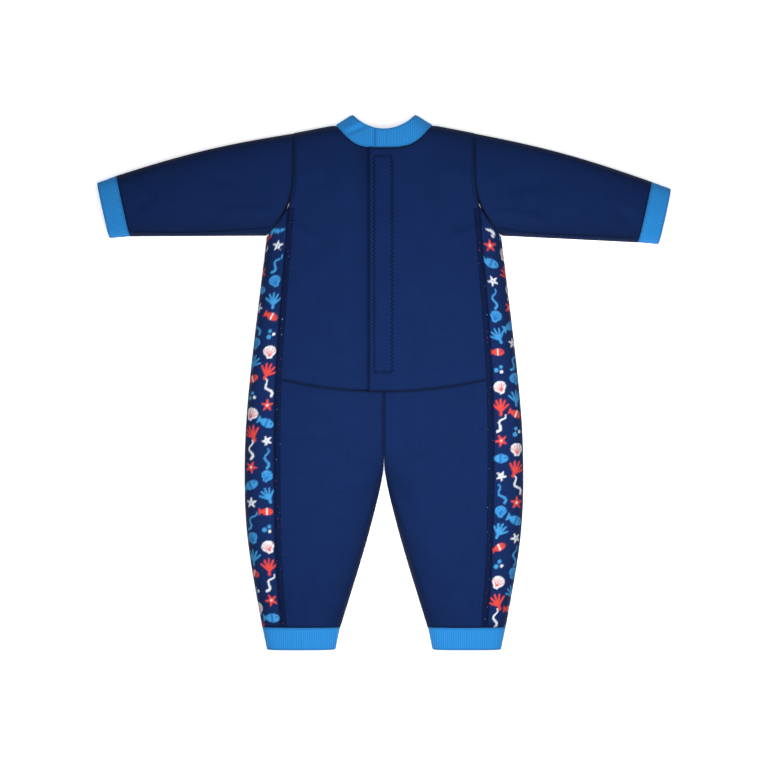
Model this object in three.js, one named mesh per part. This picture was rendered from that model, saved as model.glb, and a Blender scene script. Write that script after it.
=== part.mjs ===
// A small child's full wetsuit, lying flat on its back with the front up.
// Millimetres, +Z up, +Y towards the collar, +X towards the wearer's left.
import * as THREE from "three";
import { mergeVertices } from "three/addons/utils/BufferGeometryUtils.js";

// ---- Cloth and seams ----
const foamThickness = 3;
const knitThickness = 2.4;
const tapeThickness = 1.2;
const threadThickness = 0.5;
const seamGap = 0.5;
const layerGap = 0.3;

// ---- How the suit lies ----
const foldRadius = 10;
const crownHeight = 8;
const crownReach = 45;

// ---- Body ----
const waistLevel = 0;
const waistHalfWidth = 145.5;
const waistDip = 14;
const underarmLevel = 160;
const underarmHalfWidth = 126.5;
const shoulderLevel = 271;
const shoulderHalfWidth = 97;
const armholeCurveHeight = 62;

// ---- Neck and collar ----
const neckLevel = 280;
const neckHalfWidth = 51;
const neckDepth = 26;
const neckRoundness = 3.5;
const collarHeight = 20.5;
const collarTopHalfWidth = 35.5;
const collarPeak = 16;

// ---- Legs ----
const crotchLevel = -95;
const hipLevel = -85;
const hipHalfWidth = 150.5;
const kneeLevel = -165;
const kneeHalfWidth = 147.5;
const kneeInnerHalfGap = 17.5;
const ankleLevel = -260;
const ankleHalfWidth = 131.5;
const ankleInnerHalfGap = 46.5;
const ankleCuffLength = 24;
const ankleCuffTaper = 5;

// ---- Sleeves ----
const wristReach = 280;
const wristLevel = 192.5;
const wristWidth = 68;
const wristLean = THREE.MathUtils.degToRad(12.5);
const wristCuffLength = 22;
const wristCuffTaper = 3;
const sleeveTopBulge = 5;
const sleeveFold = 137;
const leftSleeveDrop = 6.5;

// ---- Side panels: where their seams lie on the front and on the back ----
const sideSeamUnderarm = 104.5;
const sideSeamWaist = 116;
const sideSeamAnkle = 110;

// ---- Placket ----
const flapEdge = -16;
const flapHinge = 14.8;
const underlapEdge = 12.6;
const collarSplit = -9.5;
const flapFoot = 8;
const flapLift = 1.5;
const underlapSlope = 22;
const liftSlope = 25;
const tapeWidth = 24;
const tapeCentre = -0.8;
const tapeFoot = 12;
const tapeHead = 246;
const stitchBoxWidth = 22;
const stitchWidth = 3;

const underlapDip = foamThickness - flapLift + 2 * tapeThickness + 3 * layerGap;
const clamp01 = (value) => Math.min(1, Math.max(0, value));
const smooth = (value) => clamp01(value) ** 2 * (3 - 2 * clamp01(value));
const lerp = THREE.MathUtils.lerp;

// ---- Outline of the suit, as half-widths and edges ----

/** A smooth curve through [level, half-width] points, read as half-width at a level. */
function profile(points) {
  const curve = new THREE.SplineCurve(points.map(([level, half]) => new THREE.Vector2(level, half)));
  const samples = curve.getPoints(60);
  return (level) => {
    const next = samples.findIndex((sample) => sample.x <= level);
    if (next === 0) return samples[0].y;
    if (next < 0) return samples[samples.length - 1].y;
    const [above, below] = [samples[next - 1], samples[next]];
    return lerp(above.y, below.y, (above.x - level) / (above.x - below.x));
  };
}

const sideOutline = profile([
  [underarmLevel, underarmHalfWidth],
  [waistLevel, waistHalfWidth],
  [hipLevel, hipHalfWidth],
  [kneeLevel, kneeHalfWidth],
  [ankleLevel, ankleHalfWidth],
]);
const sideSeam = profile([
  [underarmLevel, sideSeamUnderarm],
  [waistLevel, sideSeamWaist],
  [kneeLevel, sideSeamWaist],
  [ankleLevel, sideSeamAnkle],
]);
const innerLeg = profile([
  [crotchLevel, 0],
  [kneeLevel, kneeInnerHalfGap],
  [ankleLevel, ankleInnerHalfGap],
]);

/** Level of the waist seam, which dips in the middle. */
const waistSeam = (x) => waistLevel + waistDip * ((x / sideSeamWaist) ** 2 - 0.5);

/** Half-width of the body at the armhole seam. */
function armhole(level) {
  const rise = clamp01((level - underarmLevel) / armholeCurveHeight);
  return shoulderHalfWidth + (underarmHalfWidth - shoulderHalfWidth) * (1 - rise) ** 2.2;
}

/** Edge of the front and back panels: side seam below, armhole above. */
const panelEdge = (level) => Math.min(sideSeam(level), armhole(level));

/** Neck seam inside the neck's half-width, shoulder line outside it. */
function topEdge(x) {
  const across = Math.abs(x);
  if (across < neckHalfWidth) {
    return neckLevel - neckDepth + neckDepth * (across / neckHalfWidth) ** neckRoundness;
  }
  const along = (across - neckHalfWidth) / (shoulderHalfWidth - neckHalfWidth);
  return lerp(neckLevel, shoulderLevel, along);
}

/** Lower or upper corner of a sleeve's wrist seam; side is -1 or 1. */
function wristCorner(side, end, drop) {
  const half = (end * wristWidth) / 2;
  const x = wristReach + half * Math.sin(wristLean);
  return new THREE.Vector2(side * x, wristLevel - drop + half * Math.cos(wristLean));
}

const sleeveDrop = (side) => (side > 0 ? leftSleeveDrop : 0);

/** Folded edges of the suit, where its front turns under to its back. */
function foldedEdges() {
  const edges = [];
  const levels = (from, to, count) => Array.from({ length: count + 1 }, (_, i) => lerp(from, to, i / count));
  for (const side of [-1, 1]) {
    const underarm = new THREE.Vector2(side * underarmHalfWidth, underarmLevel);
    const shoulder = new THREE.Vector2(side * shoulderHalfWidth, shoulderLevel);
    const neck = new THREE.Vector2(side * neckHalfWidth, neckLevel);
    const peak = new THREE.Vector2(side * collarTopHalfWidth, neckLevel + collarHeight);
    edges.push([wristCorner(side, -1, sleeveDrop(side)), underarm]);
    edges.push(levels(underarmLevel, ankleLevel - ankleCuffLength, 60)
      .map((level) => new THREE.Vector2(side * sideOutline(level), level)));
    edges.push([wristCorner(side, 1, sleeveDrop(side)), shoulder, neck, peak]);
    edges.push(levels(crotchLevel, ankleLevel - ankleCuffLength, 30)
      .map((level) => new THREE.Vector2(side * innerLeg(level), level)));
  }
  return edges;
}
const folds = foldedEdges();

/** Distance from a plan point to the nearest fold, and the direction away from it. */
function foldDistance(x, y) {
  const point = new THREE.Vector2(x, y);
  const nearest = { distance: Infinity, away: new THREE.Vector2(0, 1) };
  for (const edge of folds) {
    for (let i = 1; i < edge.length; i += 1) {
      const along = edge[i].clone().sub(edge[i - 1]);
      const share = clamp01(point.clone().sub(edge[i - 1]).dot(along) / along.lengthSq());
      const offset = point.clone().sub(edge[i - 1].clone().addScaledVector(along, share));
      if (offset.length() < nearest.distance) {
        nearest.distance = offset.length();
        nearest.away = offset.clone().normalize();
      }
    }
  }
  return nearest;
}

/** Extra height of the front layer, which crowns away from the folds. */
const crown = (distance) => crownHeight * (1 - Math.exp(-distance / crownReach));

// ---- Building closed solids by draping box and ring grids ----

/** One closed geometry from a mapped grid: only positions, shared corners merged. */
function finishSolid(geometry) {
  geometry.deleteAttribute("normal");
  geometry.deleteAttribute("uv");
  const merged = mergeVertices(geometry, 1e-5);
  merged.computeVertexNormals();
  return merged;
}

/** Turn a solid's faces outwards if its drape turned it inside out. */
function faceOutwards(geometry) {
  const position = geometry.getAttribute("position");
  const index = geometry.getIndex().array;
  const corner = (i) => new THREE.Vector3().fromBufferAttribute(position, index[i]);
  let volume = 0;
  for (let i = 0; i < index.length; i += 3) {
    volume += corner(i).dot(corner(i + 1).cross(corner(i + 2)));
  }
  if (volume < 0) {
    for (let i = 0; i < index.length; i += 3) {
      [index[i], index[i + 1]] = [index[i + 1], index[i]];
    }
  }
  geometry.computeVertexNormals();
  return geometry;
}

/** A slab whose grid follows drape(column, row, depth); depth 0 is the outer face. */
function slab(columns, rows, drape) {
  const box = new THREE.BoxGeometry(1, 1, 1, columns, rows, 1);
  const position = box.getAttribute("position");
  for (let i = 0; i < position.count; i += 1) {
    const column = Math.round((position.getX(i) + 0.5) * columns);
    const row = Math.round((position.getY(i) + 0.5) * rows);
    const place = drape(column, row, 0.5 - position.getZ(i));
    position.setXYZ(i, place.x, place.y, place.z);
  }
  return faceOutwards(finishSolid(box));
}

/** An open-ended tube whose grid follows drape(station around, row along, depth). */
function tube(stations, rows, drape) {
  const outer = Array.from({ length: rows + 1 }, (_, i) => new THREE.Vector2(2, i));
  const inner = outer.map((point) => new THREE.Vector2(1, point.y)).reverse();
  const ring = new THREE.LatheGeometry([...outer, ...inner, outer[0]], stations);
  const position = ring.getAttribute("position");
  for (let i = 0; i < position.count; i += 1) {
    const turn = Math.atan2(position.getX(i), position.getZ(i)) / (2 * Math.PI);
    const station = Math.round(turn * stations + stations) % stations;
    const radius = Math.hypot(position.getX(i), position.getZ(i));
    const place = drape(station, Math.round(position.getY(i)), 2 - Math.round(radius));
    position.setXYZ(i, place.x, place.y, place.z);
  }
  return faceOutwards(finishSolid(ring));
}

/** Place on the suit's front or back layer over a plan point, at a depth in the cloth. */
function onLayer(x, y, front, depth, thickness, raise = 0) {
  const { distance, away } = foldDistance(x, y);
  const turn = Math.acos(1 - Math.min(distance, foldRadius) / foldRadius);
  const inset = depth * thickness;
  const half = layerGap / 2;
  const height = half + (foldRadius - half) * Math.sin(turn) - inset * Math.sin(turn);
  const lift = front ? crown(distance) + raise : 0;
  return new THREE.Vector3(
    x + away.x * inset * Math.cos(turn),
    y + away.y * inset * Math.cos(turn),
    foldRadius + (front ? height + lift : -height),
  );
}

/** Distances in from a fold that turn round it evenly. */
const foldSteps = [0.25, 0.9, 2.9, 6.2, foldRadius];

/** A row of places from one end to the other, with fold steps at the far end if it folds. */
function spread(from, to, count, folded) {
  const direction = Math.sign(to - from);
  const steps = folded ? foldSteps.map((step) => to - direction * step).reverse() : [to];
  const flatEnd = steps[0];
  const flat = Array.from({ length: count }, (_, i) => lerp(from, flatEnd, i / count));
  return [...flat, ...steps];
}

// ---- Upper panels ----

const shoulderColumns = 3;
const neckStep = 6.5;
const bodyRows = 10;

/** Shares across an upper panel, from the armhole to an inner edge at x. */
function upperShares(innerEdge) {
  const neckShare = (shoulderHalfWidth - neckHalfWidth) / (shoulderHalfWidth + innerEdge);
  const neckColumns = Math.ceil((neckHalfWidth + innerEdge) / neckStep);
  const outside = Array.from({ length: shoulderColumns }, (_, i) => (neckShare * i) / shoulderColumns);
  const inside = Array.from({ length: neckColumns + 1 }, (_, i) => lerp(neckShare, 1, i / neckColumns));
  return [...outside, ...inside];
}

/** A plan point of an upper panel: side -1 or 1, share across, place up the panel. */
function upperPlan(side, share, innerEdge, foot, row, rowCount) {
  let y = underarmLevel;
  let x = 0;
  for (let pass = 0; pass < 12; pass += 1) {
    x = side * lerp(panelEdge(y) - seamGap / 2, -innerEdge, share);
    const places = spread(foot(x), topEdge(x), rowCount, true);
    y = places[row];
  }
  return [x, y];
}

/** Height added to the front layer by the placket's overlap. */
const flapRaise = (x) => flapLift * (1 - smooth((x - flapHinge) / liftSlope));
const underlapDrop = (x) => -underlapDip * smooth((x - flapEdge + underlapSlope) / (underlapSlope - 2));

const waistEdge = (x) => waistSeam(x) + seamGap / 2;
const upperRows = bodyRows + foldSteps.length - 1;

function frontPanelRight() {
  const shares = upperShares(underlapEdge);
  return slab(shares.length - 1, upperRows, (column, row, depth) => {
    const [x, y] = upperPlan(-1, shares[column], underlapEdge, waistEdge, row, bodyRows);
    return onLayer(x, y, true, depth, foamThickness, underlapDrop(x));
  });
}

/** The fixed left front: beside the flap's hinge, and across under its foot. */
function frontPanelLeft() {
  const innerEdge = -(flapHinge + layerGap);
  const shares = upperShares(innerEdge);
  return slab(shares.length - 1, upperRows, (column, row, depth) => {
    const [x, y] = upperPlan(1, shares[column], innerEdge, waistEdge, row, bodyRows);
    return onLayer(x, y, true, depth, foamThickness, flapRaise(x));
  });
}

/** The strip of the left front that opens. */
function placketFlap() {
  const columns = 6;
  const edges = spread(flapEdge, flapHinge - layerGap, columns, false);
  return slab(columns, upperRows, (column, row, depth) => {
    const x = edges[column];
    const y = spread(flapFoot, topEdge(x), bodyRows, true)[row];
    return onLayer(x, y, true, depth, foamThickness, flapLift);
  });
}

/** The sewn-down strip between the flap's foot and the waist seam. */
function placketFoot() {
  const columns = 6;
  const edges = spread(flapEdge, flapHinge - layerGap, columns, false);
  return slab(columns, 2, (column, row, depth) => {
    const x = edges[column];
    const y = lerp(waistEdge(x), flapFoot - layerGap, row / 2);
    return onLayer(x, y, true, depth, foamThickness, flapLift);
  });
}

/** A tape strip; drop is how far its outer face lies under the front layer. */
function tape(drop) {
  const rows = 12;
  return slab(2, rows, (column, row, depth) => {
    const x = tapeCentre + tapeWidth * (column / 2 - 0.5);
    const y = lerp(tapeFoot, tapeHead, row / rows);
    return onLayer(x, y, true, depth, tapeThickness, -drop);
  });
}

function backPanel() {
  const half = upperShares(0);
  const shares = [...half.map((share) => [-1, share]), ...half.slice(0, -1).reverse().map((share) => [1, share])];
  return slab(shares.length - 1, upperRows, (column, row, depth) => {
    const [side, share] = shares[column];
    const [x, y] = upperPlan(side, share, 0, waistEdge, row, bodyRows);
    return onLayer(x, y, false, depth, foamThickness);
  });
}

// ---- Side panels ----

const foldTurns = 6;
const sideFlatColumns = 2;

/** Distance in from the fold, and front or back, for a column round a side panel. */
function sideStations(width) {
  const flat = Array.from({ length: sideFlatColumns }, (_, i) => lerp(width, foldRadius, i / sideFlatColumns));
  const turn = Array.from({ length: foldTurns + 1 }, (_, i) => (Math.PI * (i - foldTurns / 2)) / foldTurns);
  return [
    ...flat.map((inset) => ({ inset, turn: -Math.PI / 2 })),
    ...turn.map((angle) => ({ inset: foldRadius * (1 - Math.cos(angle)), turn: angle })),
    ...flat.reverse().map((inset) => ({ inset, turn: Math.PI / 2 })),
  ];
}
const sideColumns = foldTurns + 2 * sideFlatColumns;

/** One half of a side panel, between two levels; the upper one ends along the armhole. */
function sidePanel(side, rows, levelAt) {
  return slab(sideColumns, rows, (column, row, depth) => {
    let y = levelAt(row / rows, foldRadius);
    let station = null;
    for (let pass = 0; pass < 4; pass += 1) {
      const width = sideOutline(y) - Math.min(panelEdge(y), sideSeam(y)) - seamGap / 2;
      station = sideStations(Math.max(width, foldRadius + 1))[column];
      y = levelAt(row / rows, station.inset);
    }
    const inset = depth * foamThickness;
    const reach = sideOutline(y) - station.inset - inset * Math.cos(station.turn);
    const lift = station.turn > 0 ? crown(station.inset) * Math.sin(station.turn) : 0;
    const height = (foldRadius - inset) * Math.sin(station.turn);
    return new THREE.Vector3(side * reach, y, foldRadius + height + lift);
  });
}

const armholeFoot = (inset) => {
  let y = underarmLevel;
  for (let pass = 0; pass < 20; pass += 1) {
    const target = underarmHalfWidth - inset;
    y = armhole(y) > target ? y + 1.5 : y - 1.5;
  }
  return Math.max(y, underarmLevel) - 2 * seamGap;
};
const sideFoldLevel = waistSeam(sideSeamWaist);
const upperSideLevel = (share, inset) => lerp(sideFoldLevel + seamGap / 2, armholeFoot(inset), share);
const lowerSideLevel = (share) => lerp(ankleLevel + seamGap / 2, sideFoldLevel - seamGap / 2, share);

// ---- Legs ----

const legRows = 12;
const legFlatColumns = 4;
const legColumns = legFlatColumns + foldSteps.length - 1;

/** A leg's front or back, from the side seam to the centre seam and the inner fold. */
function legPanel(side, front) {
  return slab(legColumns, legRows, (column, row, depth) => {
    let y = crotchLevel;
    let x = 0;
    for (let pass = 0; pass < 6; pass += 1) {
      const inner = y > crotchLevel ? seamGap / 2 - foldSteps[0] : innerLeg(y);
      x = side * spread(sideSeam(y) - seamGap / 2, inner, legFlatColumns, true)[column];
      y = lerp(ankleLevel + seamGap / 2, waistSeam(x) - seamGap / 2, row / legRows);
    }
    return onLayer(x, y, front, depth, foamThickness);
  });
}

// ---- Tubes: sleeves, cuffs and collar ----

const flatStations = 5;
const tubeStations = 2 * (foldTurns + flatStations);

/** Round a flattened tube of a given width: place across it, and height turn. */
function tubeStation(station, width) {
  const side = station < tubeStations / 2 ? 1 : -1;
  const step = station % (tubeStations / 2);
  if (step <= foldTurns) {
    const turn = -Math.PI / 2 + (Math.PI * step) / foldTurns;
    const inset = foldRadius * (1 - Math.cos(turn));
    return { across: side > 0 ? inset : width - inset, turn: side * turn, inward: side };
  }
  const share = (step - foldTurns) / flatStations;
  const flat = lerp(foldRadius, width - foldRadius, side > 0 ? share : 1 - share);
  return { across: flat, turn: (side * Math.PI) / 2, inward: side };
}

/** A point of a flattened tube whose section runs from one plan point to another. */
function onTube(from, to, station, depth, thickness) {
  const width = from.distanceTo(to);
  const { across, turn, inward } = tubeStation(station, width);
  const inset = depth * thickness;
  const along = across + inward * inset * Math.cos(turn);
  const plan = from.clone().lerp(to, along / width);
  const edge = Math.min(across, width - across);
  const lift = turn > 0 ? crown(edge) * Math.sin(turn) : 0;
  return new THREE.Vector3(plan.x, plan.y, foldRadius + (foldRadius - inset) * Math.sin(turn) + lift);
}

const sleeveUpperRows = 2;
const sleeveLowerRows = 6;

/** A point of a sleeve's cloth; along runs from the armhole to the wrist seam. */
function onSleeve(side, station, along, depth) {
  const drop = sleeveDrop(side);
  const low = new THREE.Vector2(side * underarmHalfWidth, underarmLevel);
  const high = new THREE.Vector2(side * shoulderHalfWidth, shoulderLevel);
  const bulge = sleeveTopBulge * Math.sin(Math.PI * along);
  const from = low.lerp(wristCorner(side, -1, drop), along);
  const to = high.lerp(wristCorner(side, 1, drop), along).add(new THREE.Vector2(0, bulge));
  const place = onTube(from, to, station, depth, foamThickness);
  const chordShare = clamp01((place.y - underarmLevel) / (shoulderLevel - underarmLevel));
  const chordX = lerp(underarmHalfWidth, shoulderHalfWidth, chordShare);
  place.x += side * (armhole(place.y) + seamGap - chordX) * (1 - along) ** 2;
  return place;
}

/** How far along a sleeve, at one station and depth, its cloth is a distance from the middle. */
function alongAt(side, station, depth, reach) {
  let [near, far] = [0, 1];
  for (let pass = 0; pass < 24; pass += 1) {
    const half = (near + far) / 2;
    if (Math.abs(onSleeve(side, station, half, depth).x) < reach) near = half;
    else far = half;
  }
  return near;
}

/** The part of a sleeve between the armhole and its fold line. */
function sleeveUpper(side) {
  return tube(tubeStations, sleeveUpperRows, (station, row, depth) => {
    const end = alongAt(side, station, depth, sleeveFold - layerGap / 2);
    return onSleeve(side, station, lerp(0, end, row / sleeveUpperRows), depth);
  });
}

/** The part of a sleeve between its fold line and the wrist seam. */
function sleeveLower(side) {
  return tube(tubeStations, sleeveLowerRows, (station, row, depth) => {
    const start = alongAt(side, station, depth, sleeveFold + layerGap / 2);
    return onSleeve(side, station, lerp(start, 1, row / sleeveLowerRows), depth);
  });
}

/** A short knit tube that carries on from a seam and narrows evenly. */
function cuff(from, to, direction, length, taper, rows) {
  const across = to.clone().sub(from).normalize();
  return tube(tubeStations, rows, (station, row, depth) => {
    const along = lerp(seamGap, length, row / rows);
    const narrowing = (taper * (along + seamGap)) / length;
    const low = from.clone().addScaledVector(direction, along).addScaledVector(across, narrowing);
    const high = to.clone().addScaledVector(direction, along).addScaledVector(across, -narrowing);
    return onTube(low, high, station, depth, knitThickness);
  });
}

function wristCuff(side) {
  const low = wristCorner(side, -1, sleeveDrop(side));
  const high = wristCorner(side, 1, sleeveDrop(side));
  const direction = new THREE.Vector2(side * Math.cos(wristLean), -Math.sin(wristLean));
  return cuff(low, high, direction, wristCuffLength, wristCuffTaper, 1);
}

function ankleCuff(side) {
  const outer = new THREE.Vector2(side * ankleHalfWidth, ankleLevel);
  const inner = new THREE.Vector2(side * ankleInnerHalfGap, ankleLevel);
  return cuff(outer, inner, new THREE.Vector2(0, -1), ankleCuffLength, ankleCuffTaper, 1);
}

/** A point of the collar; share runs round it from the front centre line. */
function onCollar(x, front, share, depth) {
  const half = lerp(neckHalfWidth, collarTopHalfWidth, share);
  const reach = clamp01(Math.abs(x) / half);
  const seam = topEdge(reach * neckHalfWidth * 0.9999) + seamGap;
  const rim = neckLevel - neckDepth + collarHeight + collarPeak * reach ** 2;
  const distance = half * (1 - reach);
  const turn = Math.acos(1 - Math.min(distance, foldRadius) / foldRadius);
  const inset = depth * knitThickness;
  const height = (foldRadius - inset) * Math.sin(turn);
  const lift = front ? crown(distance) * Math.sin(turn) : 0;
  return new THREE.Vector3(
    Math.sign(x) * (Math.abs(x) - inset * Math.cos(turn)),
    lerp(seam, rim, share),
    foldRadius + (front ? height + lift : -height),
  );
}

/** A stretch of the collar between two places on the front, the long or the short way. */
function collarStretch(places, rows) {
  return slab(places.length - 1, rows, (column, row, depth) => {
    const share = row / rows;
    const half = lerp(neckHalfWidth, collarTopHalfWidth, share);
    const [across, front] = places[column];
    const straight = flapHinge + layerGap;
    const beyond = Math.max(0, Math.abs(across) - straight) / (neckHalfWidth - straight);
    const x = Math.sign(across) * (Math.min(Math.abs(across), straight) + beyond * (half - straight));
    return onCollar(x, front, share, depth);
  });
}

/** Places across the neck from one x to the other, with fold steps at each outer edge. */
function acrossNeck(from, to, count) {
  return Array.from({ length: count + 1 }, (_, i) => lerp(from, to, i / count));
}

function collar() {
  const sideSteps = foldSteps.map((step) => neckHalfWidth - (step - foldSteps[0]));
  const flatEdge = sideSteps[sideSteps.length - 1];
  const rightFront = acrossNeck(collarSplit - layerGap, -flatEdge, 6).map((x) => [x, true]);
  const rightFold = [...sideSteps].reverse().slice(1).map((x) => [-x, true]);
  const back = [
    ...sideSteps.slice(1).map((x) => [-x, false]),
    ...acrossNeck(-flatEdge, flatEdge, 14).slice(1).map((x) => [x, false]),
    ...[...sideSteps].reverse().slice(1, -1).map((x) => [x, false]),
  ];
  const leftFold = sideSteps.map((x) => [x, true]);
  const leftFront = acrossNeck(flatEdge, flapHinge + layerGap, 6).slice(1).map((x) => [x, true]);
  return collarStretch([...rightFront, ...rightFold, ...back, ...leftFold, ...leftFront], 2);
}

function collarFlapEnd() {
  return collarStretch(acrossNeck(collarSplit, flapHinge - layerGap, 5).map((x) => [x, true]), 2);
}

// ---- Stitched seams: flat ribbons of thread on the front layer ----

/** A ribbon of stitching along a plan path, lying just over the cloth. */
function stitching(path, count, raise) {
  return slab(count, 1, (column, row, depth) => {
    const [x, y, acrossX, acrossY] = path(column / count);
    const offset = (row - 0.5) * stitchWidth;
    const lift = layerGap + threadThickness + raise(x);
    return onLayer(x + acrossX * offset, y + acrossY * offset, true, depth, threadThickness, lift);
  });
}

const noRaise = () => 0;

function sideStitching(side, from, to) {
  return stitching((share) => {
    const y = lerp(from, to, share);
    return [side * (sideSeam(y) - stitchWidth), y, 1, 0];
  }, 12, noRaise);
}

function armholeStitching(side) {
  const [low, high] = [underarmLevel + 30, shoulderLevel - 8];
  return stitching((share) => {
    const y = lerp(low, high, share);
    return [side * (armhole(y) - stitchWidth), y, 1, 0];
  }, 12, side > 0 ? flapRaise : noRaise);
}

function centreStitching() {
  return stitching((share) => [-stitchWidth, lerp(-waistDip - 4, crotchLevel + 12, share), 1, 0], 10, noRaise);
}

/** The stitched box that holds the placket's tape, a closed frame on the flap. */
function placketStitching() {
  const long = tapeHead - tapeFoot;
  const perSide = 12;
  const corners = [[-0.5, 0], [0.5, 0], [0.5, 1], [-0.5, 1]];
  return tube(4 * perSide, 1, (station, row, depth) => {
    const corner = Math.floor(station / perSide);
    const share = (station % perSide) / perSide;
    const [a, b] = [corners[corner], corners[(corner + 1) % 4]];
    const shrink = depth * stitchWidth;
    const x = tapeCentre + lerp(a[0], b[0], share) * (stitchBoxWidth - 2 * shrink);
    const y = tapeFoot + shrink + lerp(a[1], b[1], share) * (long - 2 * shrink);
    const lift = flapLift + layerGap + row * threadThickness;
    return onLayer(x, y, true, 0, threadThickness, lift);
  });
}

// ---- Materials ----

const finish = (color, roughness) => new THREE.MeshStandardMaterial({ color, roughness, metalness: 0 });
const neoprene = finish(0x16295c, 0.85);
const printedNeoprene = finish(0x2a4a8c, 0.8);
const ribKnit = finish(0x2f8bd6, 0.9);
const hookTape = finish(0x101a38, 0.7);
const thread = finish(0x0f1c40, 0.6);

// ---- Assembly ----

const suit = new THREE.Group();

function addPiece(name, geometry, material) {
  const piece = new THREE.Mesh(geometry, material);
  piece.name = name;
  suit.add(piece);
}

addPiece("back_panel", backPanel(), neoprene);
addPiece("front_panel_right", frontPanelRight(), neoprene);
addPiece("front_panel_left", frontPanelLeft(), neoprene);
addPiece("placket_flap", placketFlap(), neoprene);
addPiece("placket_foot", placketFoot(), neoprene);
addPiece("hook_tape", tape(foamThickness - flapLift + layerGap), hookTape);
addPiece("loop_tape", tape(foamThickness - flapLift + tapeThickness + 2 * layerGap), hookTape);
addPiece("placket_stitching", placketStitching(), thread);
addPiece("collar", collar(), ribKnit);
addPiece("collar_flap_end", collarFlapEnd(), ribKnit);
addPiece("centre_seam_stitching", centreStitching(), thread);

for (const [hand, side] of [["right", -1], ["left", 1]]) {
  addPiece(`side_panel_${hand}_upper`, sidePanel(side, 7, upperSideLevel), printedNeoprene);
  addPiece(`side_panel_${hand}_lower`, sidePanel(side, 10, lowerSideLevel), printedNeoprene);
  addPiece(`sleeve_${hand}_upper`, sleeveUpper(side), neoprene);
  addPiece(`sleeve_${hand}_lower`, sleeveLower(side), neoprene);
  addPiece(`wrist_cuff_${hand}`, wristCuff(side), ribKnit);
  addPiece(`leg_front_${hand}`, legPanel(side, true), neoprene);
  addPiece(`leg_back_${hand}`, legPanel(side, false), neoprene);
  addPiece(`ankle_cuff_${hand}`, ankleCuff(side), ribKnit);
  addPiece(`armhole_stitching_${hand}`, armholeStitching(side), thread);
  addPiece(`side_stitching_${hand}_upper`, sideStitching(side, waistDip, underarmLevel - 6), thread);
  addPiece(`side_stitching_${hand}_lower`, sideStitching(side, ankleLevel + 6, waistLevel), thread);
}

// The origin stands under the middle of the suit's box, on the surface it lies on.
const box = new THREE.Box3().setFromObject(suit);
const middle = box.getCenter(new THREE.Vector3());
suit.position.set(-middle.x, -middle.y, -box.min.z);

export default suit;
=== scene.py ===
"""A small child's full wetsuit, lying flat with its front up.

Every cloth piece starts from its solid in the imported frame, is refined to soft cloth,
takes the suit's gentle folds, and gets the finish of the real fabric.
"""

from __future__ import annotations

import logging
import math
from dataclasses import dataclass, field
from enum import Enum
from typing import Callable

import bmesh
import bpy
import numpy as np
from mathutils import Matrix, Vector
from mathutils.bvhtree import BVHTree
from mathutils.kdtree import KDTree


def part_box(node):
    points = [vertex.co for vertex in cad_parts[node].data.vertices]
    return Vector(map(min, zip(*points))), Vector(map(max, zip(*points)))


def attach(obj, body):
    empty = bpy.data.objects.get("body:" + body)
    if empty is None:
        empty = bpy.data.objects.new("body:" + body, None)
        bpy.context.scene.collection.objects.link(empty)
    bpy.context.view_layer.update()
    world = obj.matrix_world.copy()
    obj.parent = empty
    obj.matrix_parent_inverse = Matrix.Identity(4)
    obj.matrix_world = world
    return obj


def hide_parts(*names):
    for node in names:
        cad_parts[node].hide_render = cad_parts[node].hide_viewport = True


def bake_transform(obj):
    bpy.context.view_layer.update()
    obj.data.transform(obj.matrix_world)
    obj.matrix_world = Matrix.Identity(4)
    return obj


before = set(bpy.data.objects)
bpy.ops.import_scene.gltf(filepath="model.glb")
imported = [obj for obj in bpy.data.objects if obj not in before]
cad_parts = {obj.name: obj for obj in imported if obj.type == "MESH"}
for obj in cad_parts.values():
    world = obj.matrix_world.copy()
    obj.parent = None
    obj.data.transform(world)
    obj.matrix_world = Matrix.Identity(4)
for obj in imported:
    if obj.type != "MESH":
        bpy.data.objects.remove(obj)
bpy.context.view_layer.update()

MM = 0.001
FOLD_RADIUS = 10.0  # half the suit's thickness at its folds, in millimetres
SLEEVE_FOLD = 137.0  # where each sleeve folds, from the middle, in millimetres
SLEEVE_SLOPE = math.radians(12.5)  # how far each sleeve hangs below level
WAIST_AT_SIDES = 3.65  # the level of the waist at the side panels, in millimetres
FLAP_HINGE = 14.8  # where the placket flap folds back, from the middle, in millimetres
FLAP_FOOT = 4.6  # the level where the flap is sewn down, in millimetres
FLAP_EDGE = -16.0  # the flap's free edge, in millimetres
SEAM_REACH = 3.2  # how far from a seam the cloth is painted darker as shade, in millimetres
CUT_ANGLE = math.radians(55)  # an edge that turns more than this bounds a cut side
ROUND_ANGLE = math.radians(50)  # an edge that turns more than this is rounded
CUT_FACE = 4.5  # a face wider than this is a wall of cloth and not its cut edge, in millimetres
log = logging.getLogger("wetsuit")


class Body(str, Enum):
    """The moving bodies of the suit."""

    TORSO = "torso"
    FLAP = "flap"
    LEGS = "legs"
    SLEEVE_LEFT = "sleeve_left"
    SLEEVE_RIGHT = "sleeve_right"


class Cloth(str, Enum):
    """The record's material slots."""

    NEOPRENE = "neoprene"
    PRINTED = "printed_neoprene"
    KNIT = "rib_knit"
    TAPE = "fastener_tape"
    THREAD = "thread"


# Each sleeve's underarm seam, which shows just above its lower fold, in millimetres.
UNDERARM_SEAMS = {
    "left": [(122, 165.5), (150, 160), (190, 157.5), (230, 156.5), (268, 153.5)],
    "right": [(-122, 165.5), (-150, 163), (-190, 160.5), (-230, 160), (-268, 160.5)],
}


class Direction(Enum):
    """The main ways that a grid's edges run."""

    ACROSS = 0
    ALONG = 1


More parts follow.
